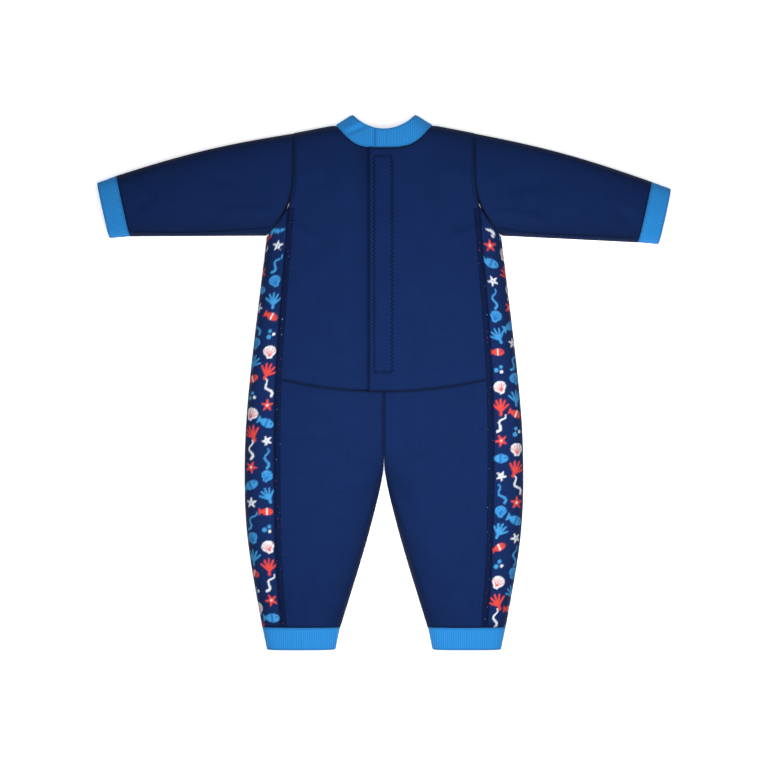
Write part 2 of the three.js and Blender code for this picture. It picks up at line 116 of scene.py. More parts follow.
@dataclass(frozen=True)
class Bend:
    """Where cloth bends between the torso and another body, in millimetres."""

    other: Body
    start: tuple[float, float, float]
    end: tuple[float, float, float]

    def apply(self, piece: bpy.types.Object) -> None:
        """Bake a piece's placement into its mesh; the bend's start and end are worked out but not used."""
        start = tuple(value * MM for value in self.start)
        end = tuple(value * MM for value in self.end)
        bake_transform(piece)


# ---- Small modelling helpers ----


def linear(colour: str) -> tuple[float, float, float, float]:
    """Turn an sRGB hex colour into linear light.

    Args:
        colour: Six hex digits, with or without a leading mark.

    Returns:
        Red, green, blue and full alpha.
    """
    digits = colour.lstrip("#")
    parts = [int(digits[i : i + 2], 16) / 255 for i in (0, 2, 4)]
    values = [p / 12.92 if p <= 0.04045 else ((p + 0.055) / 1.055) ** 2.4 for p in parts]
    return (values[0], values[1], values[2], 1.0)


def deselect_all() -> None:
    """Leave nothing selected, so that an operator acts only on what is meant."""
    if bpy.context.object and bpy.context.object.mode != "OBJECT":
        bpy.ops.object.mode_set(mode="OBJECT")
    bpy.ops.object.select_all(action="DESELECT")


def activate(piece: bpy.types.Object) -> None:
    """Make one object the only selected and active one."""
    deselect_all()
    piece.select_set(True)
    bpy.context.view_layer.objects.active = piece


def points_of(piece: bpy.types.Object) -> np.ndarray:
    """Read a mesh's vertices in millimetres."""
    flat = np.empty(len(piece.data.vertices) * 3)
    piece.data.vertices.foreach_get("co", flat)
    return flat.reshape(-1, 3) / MM


def set_points(piece: bpy.types.Object, points: np.ndarray) -> None:
    """Write a mesh's vertices from millimetres."""
    piece.data.vertices.foreach_set("co", (points * MM).ravel())
    piece.data.update()


def mark(piece: bpy.types.Object, name: str, values: np.ndarray) -> None:
    """Keep a value at each point of a piece, for its finish to read."""
    attribute = piece.data.attributes.new(name, "FLOAT", "POINT")
    attribute.data.foreach_set("value", values)


def select_points(piece: bpy.types.Object, chosen: np.ndarray) -> None:
    """Select points and go to edit mode.

    Args:
        piece: The piece whose points are selected.
        chosen: True for each point to select.
    """
    activate(piece)
    bpy.ops.object.mode_set(mode="EDIT")
    bpy.ops.mesh.select_mode(type="VERT")
    bpy.ops.mesh.select_all(action="DESELECT")
    bpy.ops.object.mode_set(mode="OBJECT")
    piece.data.vertices.foreach_set("select", chosen)
    bpy.ops.object.mode_set(mode="EDIT")


def solid_copy(name: str, nodes: tuple[str, ...]) -> bpy.types.Object:
    """Copy frame solids as one merged mesh of quads that can be refined.

    Args:
        name: The new piece's name.
        nodes: The frame nodes to copy.

    Returns:
        The new piece.
    """
    copies = []
    for node in nodes:
        copy = bpy.data.objects.new(name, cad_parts[node].data.copy())
        copy.data.materials.clear()
        bpy.context.scene.collection.objects.link(copy)
        copies.append(copy)
    activate(copies[0])
    for copy in copies:
        copy.select_set(True)
    if len(copies) > 1:
        bpy.ops.object.join()
    piece = copies[0]
    bpy.ops.object.mode_set(mode="EDIT")
    bpy.ops.mesh.select_all(action="SELECT")
    bpy.ops.mesh.remove_doubles(threshold=0.00001)
    bpy.ops.mesh.tris_convert_to_quads(face_threshold=math.pi, shape_threshold=math.pi)
    bpy.ops.object.mode_set(mode="OBJECT")
    return piece


def weld_halves(piece: bpy.types.Object, axis: int, place: float, reach: float) -> None:
    """Make two halves that face each other into one cloth.

    Args:
        piece: The piece that holds both halves.
        axis: The axis that the two cuts face along.
        place: Where the cuts are on it, in millimetres.
        reach: How far a cut's points may lie from there, in millimetres.
    """
    near = np.abs(points_of(piece)[:, axis] - place) < reach
    cut_faces = [all(near[i] for i in face.vertices) for face in piece.data.polygons]
    activate(piece)
    bpy.ops.object.mode_set(mode="EDIT")
    bpy.ops.mesh.select_mode(type="FACE")
    bpy.ops.mesh.select_all(action="DESELECT")
    bpy.ops.object.mode_set(mode="OBJECT")
    piece.data.polygons.foreach_set("select", cut_faces)
    bpy.ops.object.mode_set(mode="EDIT")
    bpy.ops.mesh.delete(type="FACE")
    bpy.ops.object.mode_set(mode="OBJECT")
    select_points(piece, np.abs(points_of(piece)[:, axis] - place) < reach)
    bpy.ops.mesh.remove_doubles(threshold=0.8 * MM)
    bpy.ops.object.mode_set(mode="OBJECT")


def meet_neighbours(piece: bpy.types.Object, grow: float) -> None:
    """Push the cut sides out, so that sewn pieces touch instead of standing apart.

    Args:
        piece: A piece whose cut sides are still one face thick.
        grow: How far to push them, in millimetres.
    """
    mesh = bmesh.new()
    mesh.from_mesh(piece.data)
    mesh.normal_update()
    sharp = {edge for edge in mesh.edges if edge.calc_face_angle(0.0) > CUT_ANGLE}
    pushes: dict = {}
    for face in mesh.faces:
        held = [edge for edge in face.edges if edge in sharp]
        between = [edge.calc_length() / MM for edge in face.edges if edge not in held]
        opposite = any(not set(a.verts) & set(b.verts) for a in held for b in held if a is not b)
        if opposite and (not between or min(between) < CUT_FACE):
            for vert in face.verts:
                pushes.setdefault(vert, []).append(face.normal.copy())
    for vert, normals in pushes.items():
        middle = sum(normals, Vector()).normalized()
        vert.co += middle * (grow * MM / max(0.5, middle.dot(normals[0])))
    mesh.to_mesh(piece.data)
    mesh.free()


def crease_edges(piece: bpy.types.Object, angle: float) -> None:
    """Hold the edges of the cloth's cut sides sharp while it is refined.

    Args:
        piece: The piece to mark.
        angle: Edges that turn by more than this are held, in radians.
    """
    mesh = bmesh.new()
    mesh.from_mesh(piece.data)
    layer = mesh.edges.layers.float.get("crease_edge") or mesh.edges.layers.float.new("crease_edge")
    for edge in mesh.edges:
        if len(edge.link_faces) == 2 and edge.calc_face_angle(0.0) > angle:
            edge[layer] = 1.0
    mesh.to_mesh(piece.data)
    mesh.free()


def refine(piece: bpy.types.Object, levels: int) -> None:
    """Smooth a piece into fine cloth, keeping its cut edges.

    Args:
        piece: The piece to refine.
        levels: How many times each face is divided.
    """
    crease_edges(piece, CUT_ANGLE)
    activate(piece)
    finer = piece.modifiers.new("finer", "SUBSURF")
    finer.levels = finer.render_levels = levels
    bpy.ops.object.modifier_apply(modifier=finer.name)


def lengthen_tip(
    piece: bpy.types.Object, axis: int, start: float, share: float, sink: float, lean: float
) -> None:
    """Run the front layer's pointed ends on under the pieces that they are sewn to.

    Args:
        piece: The piece to lengthen.
        axis: The axis that its ends point along.
        start: Where the lengthening begins on it, in millimetres, to both sides of the middle.
        share: How much farther each place beyond that goes.
        sink: How far a place at the very end goes down, in millimetres.
        lean: How much of its distance beyond the start a place also goes toward the suit's middle.
    """
    points = points_of(piece)
    beyond = np.maximum(np.abs(points[:, axis]) - start, 0) * (points[:, 2] > FOLD_RADIUS)
    beyond *= points[:, 1] > 0
    points[:, 0] -= np.sign(points[:, 0]) * beyond * lean
    points[:, axis] += np.sign(points[:, axis]) * beyond * share
    points[:, 2] -= sink * beyond / max(beyond.max(), 1e-6)
    set_points(piece, points)


def in_flush_border(points: np.ndarray) -> np.ndarray:
    """Find places on borders that are only foldlines of one cloth, which show no seam.

    Args:
        points: Places in millimetres.

    Returns:
        True for each place that is on such a border.
    """
    x, y = points[:, 0], points[:, 1]
    hinge = (np.abs(x - FLAP_HINGE) < 0.6) & (y > FLAP_FOOT - 20)
    foot = (np.abs(y - FLAP_FOOT) < 0.6) & (x > FLAP_EDGE - 2) & (x < FLAP_HINGE + 0.7)
    return hinge | foot


def close_flush_borders(piece: bpy.types.Object) -> None:
    """Bring both sides of a foldline to the same place.

    Args:
        piece: A piece that may border on a foldline.
    """
    points = points_of(piece)
    hinge = (np.abs(points[:, 0] - FLAP_HINGE) < 0.6) & (points[:, 1] > FLAP_FOOT - 20)
    points[hinge, 0] = FLAP_HINGE
    foot = (np.abs(points[:, 1] - FLAP_FOOT) < 0.6) & (np.abs(points[:, 0]) < -FLAP_EDGE + 1)
    points[foot, 1] = FLAP_FOOT
    set_points(piece, points)


def soften_edges(piece: bpy.types.Object, width: float) -> None:
    """Round the cut edges, so that two pieces meet in a soft groove.

    Args:
        piece: The piece to round.
        width: The rounding's reach from the edge, in millimetres.
    """
    mesh = bmesh.new()
    mesh.from_mesh(piece.data)
    weight = mesh.edges.layers.float.new("bevel_weight_edge")
    for edge in mesh.edges:
        if edge.calc_face_angle(0.0) > ROUND_ANGLE:
            middle = np.array([(edge.verts[0].co + edge.verts[1].co) / 2]) / MM
            flush = bool(in_flush_border(middle)[0])
            edge[weight] = 0.0 if flush else 1.0
            edge.smooth = not flush
    cut = KDTree(max(1, len(mesh.verts)))
    for vert in mesh.verts:
        if any(edge[weight] > 0.5 for edge in vert.link_edges):
            cut.insert(vert.co, vert.index)
    cut.balance()
    mesh.to_mesh(piece.data)
    mesh.free()
    activate(piece)
    rounding = piece.modifiers.new("rounding", "BEVEL")
    rounding.width = width * MM
    rounding.segments = 3
    rounding.limit_method = "WEIGHT"
    bpy.ops.object.modifier_apply(modifier=rounding.name)
    # Mark the painted shade beside the seams: full at a cut edge, fading out by SEAM_REACH.
    nearest = [cut.find(vert.co)[2] or 1.0 for vert in piece.data.vertices]
    mark(piece, "seam", 1 - smooth_step(np.array(nearest) / MM / SEAM_REACH))


def cut_edges(piece: bpy.types.Object, direction: Direction, longer: float, cuts: int) -> None:
    """Subdivide the grid edges that run one way.

    Args:
        piece: The piece to make finer.
        direction: Across the suit, or along it.
        longer: Only edges longer than this, in millimetres.
        cuts: New points on each edge.
    """
    points = points_of(piece)
    ends = np.empty(len(piece.data.edges) * 2, dtype=int)
    piece.data.edges.foreach_get("vertices", ends)
    ends = ends.reshape(-1, 2)
    span = np.abs(points[ends[:, 0]] - points[ends[:, 1]])
    runs_along = span[:, 1] > np.maximum(span[:, 0], span[:, 2])
    chosen = (runs_along == (direction is Direction.ALONG)) & (np.linalg.norm(span, axis=1) > longer)
    activate(piece)
    bpy.ops.object.mode_set(mode="EDIT")
    bpy.ops.mesh.select_all(action="DESELECT")
    bpy.ops.mesh.select_mode(type="EDGE")
    bpy.ops.object.mode_set(mode="OBJECT")
    piece.data.edges.foreach_set("select", chosen)
    bpy.ops.object.mode_set(mode="EDIT")
    bpy.ops.mesh.subdivide(number_cuts=cuts)
    bpy.ops.object.mode_set(mode="OBJECT")


def smooth(piece: bpy.types.Object) -> None:
    """Shade a piece smoothly."""
    activate(piece)
    bpy.ops.object.shade_smooth()


def smooth_step(value: np.ndarray) -> np.ndarray:
    """Rise softly from 0 to 1."""
    held = np.clip(value, 0, 1)
    return held * held * (3 - 2 * held)


# ---- The folds that thick, soft cloth takes when it is laid down ----


@dataclass(frozen=True)
class Crease:
    """A soft ridge or hollow between two places, in millimetres."""

    start: tuple[float, float]
    end: tuple[float, float]
    width: float
    height: float

    def lift(self, x: np.ndarray, y: np.ndarray) -> np.ndarray:
        """Find the height that this crease adds.

        Args:
            x: Places across the suit, in millimetres.
            y: Places up the suit, in millimetres.

        Returns:
            The height to add at each.
        """
        along = np.array(self.end) - np.array(self.start)
        length = math.hypot(*along)
        unit = along / length
        share = ((x - self.start[0]) * unit[0] + (y - self.start[1]) * unit[1]) / length
        off = (x - self.start[0]) * unit[1] - (y - self.start[1]) * unit[0]
        ends = smooth_step(share / 0.35 + 0.15) * smooth_step((1 - share) / 0.35 + 0.15)
        return self.height * ends * np.exp(-((off / self.width) ** 2))


@dataclass(frozen=True)
class Drape:
    """The suit's relief: a slow roll, and creases where the cut pulls."""

    roll: float = 0.75
    creases: tuple[Crease, ...] = (
        Crease((-17, 276), (-42, 266), 2.6, -1.8),
        Crease((-20, 280), (-44, 271), 3.0, 1.0),
        Crease((45, 283), (47, 272), 1.8, -1.6),
        Crease((122, 174), (66, 150), 6, 2.6),
        Crease((-122, 174), (-68, 152), 6, 2.6),
        Crease((112, 150), (84, 96), 8, 1.8),
        Crease((-112, 150), (-84, 100), 8, 1.8),
        Crease((102, 216), (58, 228), 8, 1.4),
        Crease((-102, 216), (-58, 230), 8, 1.4),
        Crease((112, 182), (176, 174), 6, 2.2),
        Crease((-112, 184), (-176, 180), 6, 2.2),
        Crease((122, 206), (190, 216), 8, -1.6),
        Crease((-122, 208), (-196, 220), 8, -1.6),
        Crease((205, 162), (250, 206), 7, 1.7),
        Crease((-208, 168), (-252, 210), 7, 1.7),
        Crease((270, 168), (244, 190), 5, -1.5),
        Crease((-272, 180), (-246, 200), 5, -1.5),
        Crease((4, -88), (62, -60), 7, 2.4),
        Crease((-4, -88), (-60, -58), 7, 2.2),
        Crease((6, -100), (34, -150), 8, -2.4),
        Crease((-110, -68), (-62, -62), 6, -2.0),
        Crease((-112, -60), (-66, -52), 6, 1.4),
        Crease((-8, -104), (-62, -116), 7, 1.6),
        Crease((18, -160), (64, -196), 8, 1.5),
        Crease((-16, -128), (-60, -166), 8, -1.5),
        Crease((56, -250), (74, -204), 5, 1.5),
        Crease((-56, -250), (-74, -206), 5, 1.5),
        Crease((100, -252), (94, -208), 5, 1.4),
        Crease((-100, -252), (-94, -210), 5, 1.4),
        Crease((30, -20), (100, -12), 6, 1.3),
        Crease((-30, -20), (-100, -13), 6, 1.3),
        Crease((28, 6), (104, 14), 6, 1.5),
        Crease((-34, 6), (-104, 14), 6, 1.5),
    )

    def lift(self, points: np.ndarray) -> np.ndarray:
        """Height that the relief adds to each point of the front layer.

        Args:
            points: Places in millimetres.

        Returns:
            The height to add, which fades to nothing round the folds.
        """
        x, y, z = points.T
        slow = np.sin(x / 29 + 1.3) * np.sin(y / 43 + 0.4) + 0.7 * np.sin((x + y) / 24 + 0.6)
        slow += 0.5 * np.sin((x - 1.7 * y) / 21 + 2.0)
        height = self.roll * slow
        for crease in self.creases:
            height = height + crease.lift(x, y)
        return height * smooth_step((z - FOLD_RADIUS - 2) / (FOLD_RADIUS - 2))

    def lay(self, piece: bpy.types.Object) -> None:
        """Give a piece the suit's relief, and mark where its cloth turns down to a fold, for the painted
        shade there.

        Args:
            piece: The finely divided piece.
        """
        points = points_of(piece)
        z = points[:, 2]
        # The rim mark says where the cloth is painted darker as shade, toward its folds.
        mark(piece, "rim", (1 - smooth_step((z - 18) / 6.5)) * smooth_step((z - 4) / 6))
        points[:, 2] += self.lift(points)
        set_points(piece, points)


DRAPE = Drape()


# ---- Finishes ----


def connect(tree: bpy.types.NodeTree, node: bpy.types.Node, links: dict) -> None:
    """Link a shader node's inputs, or set their plain values.

    Args:
        tree: The material's node tree.
        node: The node whose inputs are set.
        links: Input name or number to an output socket or a plain value.
    """
    for name, value in links.items():
        socket = node.inputs[name]
        if isinstance(value, bpy.types.NodeSocket):
            tree.links.new(value, socket)
        else:
            socket.default_value = value


def add_node(
    tree: bpy.types.NodeTree, kind: str, links: dict | None = None, **settings: str
) -> bpy.types.Node:
    """Add a shader node with its settings and links.

    Args:
        tree: The material's node tree.
        kind: The node's type name.
        links: Input name or number to an output socket or a plain value.
        **settings: The node's own properties.

    Returns:
        The new node.
    """
    node = tree.nodes.new(kind)
    for name, value in settings.items():
        setattr(node, name, value)
    connect(tree, node, links or {})
    return node


def mix(
    tree: bpy.types.NodeTree,
    share: bpy.types.NodeSocket | float,
    first: bpy.types.NodeSocket | tuple,
    second: bpy.types.NodeSocket | tuple,
    blend: str = "MIX",
) -> bpy.types.NodeSocket:
    """Mix two colours.

    Args:
        tree: The material's node tree.
        share: How much of the second colour there is.
        first: The first colour.
        second: The second colour.
        blend: How the second colour goes over the first.

    Returns:
        The mixed colour.
    """
    links = {"Factor": share, 6: first, 7: second}
    return add_node(tree, "ShaderNodeMix", links, data_type="RGBA", blend_type=blend).outputs[2]


def calculate(
    tree: bpy.types.NodeTree,
    operation: str,
    first: bpy.types.NodeSocket,
    second: bpy.types.NodeSocket | float,
) -> bpy.types.NodeSocket:
    """Combine two numbers in a material."""
    return add_node(tree, "ShaderNodeMath", {0: first, 1: second}, operation=operation).outputs[0]


def relief(
    tree: bpy.types.NodeTree, height: bpy.types.NodeSocket, strength: float, depth: float
) -> bpy.types.NodeSocket:
    """Turn a height into fine surface relief, with its depth in metres."""
    links = {"Strength": strength, "Distance": depth, "Height": height}
    return add_node(tree, "ShaderNodeBump", links).outputs["Normal"]


def object_place(tree: bpy.types.NodeTree) -> bpy.types.NodeSocket:
    """Read each point's place on its own object."""
    return add_node(tree, "ShaderNodeTexCoord").outputs["Object"]


def attribute_of(tree: bpy.types.NodeTree, name: str, output: str = "Fac") -> bpy.types.NodeSocket:
    """Read one of the mesh's own attributes."""
    return add_node(tree, "ShaderNodeAttribute", attribute_name=name).outputs[output]


def new_material(name: str) -> tuple[bpy.types.Material, bpy.types.NodeTree, bpy.types.Node]:
    """Start a material with only its principled shader.

    Args:
        name: The material's name.

    Returns:
        The material, its node tree and its shader.
    """
    material = bpy.data.materials.new(name)
    material.use_nodes = True
    tree = material.node_tree
    return material, tree, tree.nodes["Principled BSDF"]


@dataclass(frozen=True)
class KnitFacedNeoprene:
    """Foam rubber faced with a fine nylon jersey: matt, with a faint soft sheen."""

    name: str
    colour: str
    shade: str
    painted: bool = False
    stitch_size: float = 1.3  # the jersey's loops, drawn coarser than their 0.5 mm so that they show
    roughness: float = 0.82
    seam_shade: float = 0.75  # how dark the painted shade beside its seams is
    rim_shade: float = 0.42  # how dark the painted shade is where the cloth turns down to a fold

    def build(self) -> bpy.types.Material:
        """Make the material.

        Returns:
            The new material.
        """
        material, tree, shader = new_material(self.name)
        place = object_place(tree)
        mottle = add_node(tree, "ShaderNodeTexNoise", {"Vector": place, "Scale": 42.0, "Detail": 4.0})
        first, second = linear(self.shade), linear(self.colour)
        if self.painted:
            second = attribute_of(tree, "print", "Color")
            first = mix(tree, 0.16, second, linear(self.shade))
        tone = mix(tree, mottle.outputs["Fac"], first, second)
        loops, rows = (
            add_node(
                tree,
                "ShaderNodeTexWave",
                {
                    "Vector": place,
                    "Scale": 1000 / self.stitch_size / 6.283,  # waves to a metre, over one full turn
                    "Distortion": distortion,
                    "Detail": 1.0,
                },
                bands_direction=axis,
            ).outputs["Fac"]
            for axis, distortion in (("X", 1.2), ("Y", 0.8))
        )
        weave = calculate(tree, "MULTIPLY", loops, rows)
        lit = mix(tree, calculate(tree, "MULTIPLY", weave, 0.035), tone, linear("#4a68a8"), "SCREEN")
        # Painted shade: the cloth is painted darker beside its seams and toward its folds, mixed toward
        # near-black #020817.
        sewn = calculate(tree, "MULTIPLY", attribute_of(tree, "seam"), self.seam_shade)
        turned = calculate(tree, "MULTIPLY", attribute_of(tree, "rim"), self.rim_shade)
        painted_shade = calculate(tree, "MAXIMUM", sewn, turned)
        links = {
            "Base Color": mix(tree, painted_shade, lit, linear("#020817")),
            "Normal": relief(tree, weave, 0.35, 0.0004),
            "Roughness": self.roughness,
            "Specular IOR Level": 0.08,
            "Sheen Weight": 0.03,
            "Sheen Roughness": 0.5,
        }
        connect(tree, shader, links)
        return material


@dataclass(frozen=True)
class RibKnit:
    """Stretchy cotton rib, soft and matt: its valleys are painted darker than its ridges, as painted shade.
    """

    name: str = "rib_knit_blue"
    ridge: str = "#2c86cd"
    valley: str = "#1f70b0"
    # seam_shade: how dark the knit is painted as shade beside its seams.
    seam_shade: float = 0.45

    def build(self) -> bpy.types.Material:
        """Make the material from the ribs' own depth attribute.

        Returns:
            The new material.
        """
        material, tree, shader = new_material(self.name)
        place = object_place(tree)
        # Painted shade: the valleys between the ribs are painted darker than the ridges.
        tone = mix(tree, attribute_of(tree, "rib"), linear(self.valley), linear(self.ridge))
        # Painted shade beside the seams, mixed toward #124a80.
        painted_shade = calculate(tree, "MULTIPLY", attribute_of(tree, "seam"), self.seam_shade)
        fuzz = add_node(tree, "ShaderNodeTexNoise", {"Vector": place, "Scale": 900.0, "Detail": 3.0})
        links = {
            "Base Color": mix(tree, painted_shade, tone, linear("#124a80")),
            "Normal": relief(tree, fuzz.outputs["Fac"], 0.4, 0.0004),
            "Roughness": 0.88,
            "Specular IOR Level": 0.1,
            "Sheen Weight": 0.06,
        }
        connect(tree, shader, links)
        return material


@dataclass(frozen=True)
class SeamThread:
    """Twisted polyester thread: a little gloss on tight dark strands."""

    name: str = "seam_thread_navy"
    colour: str = "#030b22"
    fleck: str = "#08183f"

    def build(self) -> bpy.types.Material:
        """Make the material.

        Returns:
            The new material.
        """
        material, tree, shader = new_material(self.name)
        place = object_place(tree)
        twist = add_node(tree, "ShaderNodeTexNoise", {"Vector": place, "Scale": 700.0, "Detail": 2.0})
        grain = twist.outputs["Fac"]
        links = {
            "Base Color": mix(tree, grain, linear(self.colour), linear(self.fleck)),
            "Normal": relief(tree, grain, 0.5, 0.0003),
            "Roughness": 0.6,
            "Specular IOR Level": 0.06,
        }
        connect(tree, shader, links)
        return material


@dataclass(frozen=True)
class Overlock:
    """Overlocked seam: dark thread, with specks of the printed cloth showing through; its dark is partly the
    thread's own and partly painted shade of the seam's groove.
    """

    name: str = "overlock_seam_and_painted_shade"
    colour: str = "#071538"

    def build(self) -> bpy.types.Material:
        """Make the material.

        Returns:
            The new material.
        """
        material, tree, shader = new_material(self.name)
        place = object_place(tree)
        grain = add_node(tree, "ShaderNodeTexNoise", {"Vector": place, "Scale": 620.0, "Detail": 2.0})
        choice = add_node(tree, "ShaderNodeTexNoise", {"Vector": place, "Scale": 60.0, "Detail": 1.0})
        specks = self.ramp(tree, grain, (0.71, 0.75), ((0, 0, 0, 1), (1, 1, 1, 1)))
        hues = self.ramp(tree, choice, (0.47, 0.53), (linear("#c2453f"), linear("#8fa9cf")))
        links = {
            "Base Color": mix(tree, specks, linear(self.colour), hues),
            "Roughness": 0.75,
            "Specular IOR Level": 0.05,
        }
        connect(tree, shader, links)
        return material

    def ramp(
        self, tree: bpy.types.NodeTree, noise: bpy.types.Node, stops: tuple, colours: tuple
    ) -> bpy.types.NodeSocket:
        """Turn a noise into two colours.

        Args:
            tree: The material's node tree.
            noise: The noise to read.
            stops: Where the first colour ends and the second one begins.
            colours: The two colours.

        Returns:
            The colour.
        """
        node = add_node(tree, "ShaderNodeValToRGB", {"Fac": noise.outputs["Fac"]})
        for element, stop, colour in zip(node.color_ramp.elements, stops, colours):
            element.position = stop
            element.color = colour
        return node.outputs["Color"]


@dataclass(frozen=True)
class FastenerPile:
    """Woven nylon tape covered in loops or hooks: dark, and rough all over."""

    name: str = "fastener_pile"

    def build(self) -> bpy.types.Material:
        """Make the material.

        Returns:
            The new material.
        """
        material, tree, shader = new_material(self.name)
        place = object_place(tree)
        pile = add_node(tree, "ShaderNodeTexVoronoi", {"Vector": place, "Scale": 800.0})
        height = pile.outputs["Distance"]
        links = {
            "Base Color": mix(tree, height, linear("#16264f"), linear("#0a1330")),
            "Normal": relief(tree, height, 0.8, 0.0006),
            "Roughness": 0.9,
        }
        connect(tree, shader, links)
        return material


# ---- Cloth pieces ----


def place_piece(
    piece: bpy.types.Object, body: Body, bend: Bend | None, nodes: tuple[str, ...], slot: Cloth
) -> None:
    """Give a finished piece its place in the suit.

    Args:
        piece: The finished piece.
        body: The body that it is attached to when it has no bend.
        bend: Its bend between two bodies, which only bakes its placement, or None.
        nodes: The frame nodes that it stands for.
        slot: The record's material slot; not used.
    """
    if bend:
        bend.apply(piece)
    else:
        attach(piece, body.value)
    if nodes:
        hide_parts(*nodes)
    log.info("%s: %d faces", piece.name, len(piece.data.polygons))


@dataclass
class Panel:
    """A cut panel of cloth that stands for one or two solids of the frame."""

    name: str
    body: Body
    finish: bpy.types.Material
    cloth: Cloth = Cloth.NEOPRENE
    levels: int = 3
    edge: float = 1.3
    grow: float = 0.26
    bend: Bend | None = None
    held: str = "laid"
    halves: tuple[str, ...] = ()
    weld: tuple[int, float, float] = (0, 0.0, 0.0)
    tip: tuple[int, float, float, float, float] | None = None
    piece: bpy.types.Object | None = field(default=None, init=False)

    @property
    def nodes(self) -> tuple[str, ...]:
        """The frame nodes that this panel stands for."""
        return tuple(f"{self.name}_{half}" for half in self.halves) or (self.name,)

    def cut(self) -> None:
        """Copy the frame's solids as one coarse cloth."""
        self.piece = solid_copy(f"{self.name}_cloth", self.nodes)
        if self.halves:
            weld_halves(self.piece, *self.weld)
        meet_neighbours(self.piece, self.grow)
        if self.tip:
            lengthen_tip(self.piece, *self.tip)
        close_flush_borders(self.piece)

    def build(self) -> None:
        """Shape the cloth."""
        self.cut()
        refine(self.piece, self.levels)
        soften_edges(self.piece, self.edge)
        DRAPE.lay(self.piece)
        smooth(self.piece)

    def dress(self) -> None:
        """Give the cloth its finish and its place in the suit."""
        self.piece.data.materials.append(self.finish)
        place_piece(self.piece, self.body, self.bend, self.nodes, self.cloth)
        self.declare()

    def declare(self) -> None:
        """Add up the volume of the panel's frame solids; the sum is not used."""
        volume = 0.0
        for node in self.nodes:
            mesh = bmesh.new()
            mesh.from_mesh(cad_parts[node].data)
            volume += abs(mesh.calc_volume())
            mesh.free()


# ---- The sea print, drawn in millimetres on the cloth ----

GROUND = linear("#0a2252")
SKY = linear("#3f93d0")
CORAL = linear("#dd4739")
FOAM = linear("#e2e6ec")
BLUE = linear("#1f63ae")


@dataclass
class Print:
    """Paint on a patch of cloth, drawn in a motif's own turned and scaled places.

    Distances in a motif's shapes are in millimetres before its size is applied.
    """

    colours: np.ndarray
    u: np.ndarray
    v: np.ndarray
    size: float
    soft: float = 0.4

    def fill(self, distance: np.ndarray, colour: tuple) -> None:
        """Paint where the signed distance is negative, with a soft edge."""
        cover = smooth_step(0.5 - distance * self.size / (2 * self.soft))[:, None]
        self.colours[:] = self.colours * (1 - cover) + np.array(colour) * cover

    def ellipse(self, centre: tuple, radii: tuple, colour: tuple) -> None:
        """Paint an ellipse of a motif."""
        reach = np.hypot((self.u - centre[0]) / radii[0], (self.v - centre[1]) / radii[1]) - 1
        self.fill(reach * min(radii), colour)

    def stroke(self, points: list[tuple], widths: tuple, colour: tuple) -> None:
        """Paint a line through points.

        Args:
            points: The places that it runs through.
            widths: Its half-width at the first place and at the last one.
            colour: Its paint.
        """
        nearest = np.full(self.u.shape, 1e9)
        count = len(points) - 1
        for i in range(count):
            a, b = np.array(points[i], float), np.array(points[i + 1], float)
            ab = b - a
            share = np.clip(((self.u - a[0]) * ab[0] + (self.v - a[1]) * ab[1]) / max(ab @ ab, 1e-6), 0, 1)
            half = widths[0] + (widths[1] - widths[0]) * (i + share) / count
            off = np.hypot(self.u - a[0] - share * ab[0], self.v - a[1] - share * ab[1])
            nearest = np.minimum(nearest, off - half)
        self.fill(nearest, colour)

    def polygon(self, corners: list[tuple], colour: tuple) -> None:
        """Paint a convex polygon.

        Args:
            corners: Its corners, anticlockwise.
            colour: Its paint.
        """
        reach = np.full(self.u.shape, -1e9)
        for (ax, ay), (bx, by) in zip(corners, corners[1:] + corners[:1]):
            length = math.hypot(bx - ax, by - ay)
            reach = np.maximum(reach, ((self.u - ax) * (by - ay) - (self.v - ay) * (bx - ax)) / length)
        self.fill(reach, colour)

    def fan(self, foot: tuple, spread: float, reach: tuple, widths: tuple, colour: tuple) -> None:
        """Paint five straight arms that fan out upward from one place.

        Args:
            foot: Where they start.
            spread: The angle between two arms, in degrees.
            reach: Their reach sideways and upward.
            widths: Their half-width at the foot and at the tip.
            colour: Their paint.
        """
        for arm in range(-2, 3):
            angle = math.radians(arm * spread)
            tip = (reach[0] * math.sin(angle), foot[1] + reach[1] * math.cos(angle))
            self.stroke([foot, tip], widths, colour)


def sea_star(patch: Print, main_paint: tuple, second: tuple) -> None:
    """Paint a five-armed star.

    Args:
        patch: The patch to paint.
        main_paint: The motif's main paint.
        second: Its second paint.
    """
    for arm in range(5):
        angle = math.pi / 2 + 2 * math.pi * arm / 5
        patch.stroke([(0, 0), (6 * math.cos(angle), 6 * math.sin(angle))], (2.0, 0.7), main_paint)
    patch.ellipse((0, 0), (1.1, 1.1), second)


def plain_fish(patch: Print, main_paint: tuple, second: tuple) -> None:
    """Paint an oval fish with a triangular tail and one band.

    Args:
        patch: The patch to paint.
        main_paint: The motif's main paint.
        second: Its second paint.
    """
    patch.polygon([(-9.5, -4), (-4.5, 0), (-9.5, 4)], main_paint)
    patch.ellipse((0, 0), (6.5, 4.0), main_paint)
    patch.stroke([(-0.6, -3.2), (-0.6, 3.2)], (0.8, 0.8), second)
    patch.ellipse((3.6, 0.9), (0.75, 0.75), GROUND)


def coral_fan(patch: Print, main_paint: tuple, second: tuple) -> None:
    """Paint a fan of five straight coral arms on a stem.

    Args:
        patch: The patch to paint.
        main_paint: The motif's main paint.
        second: Its second paint.
    """
    patch.fan((0, -6), 28, (9.5, 12), (1.2, 0.9), main_paint)
    patch.stroke([(0, -9.5), (0, -5)], (1.5, 1.3), second)


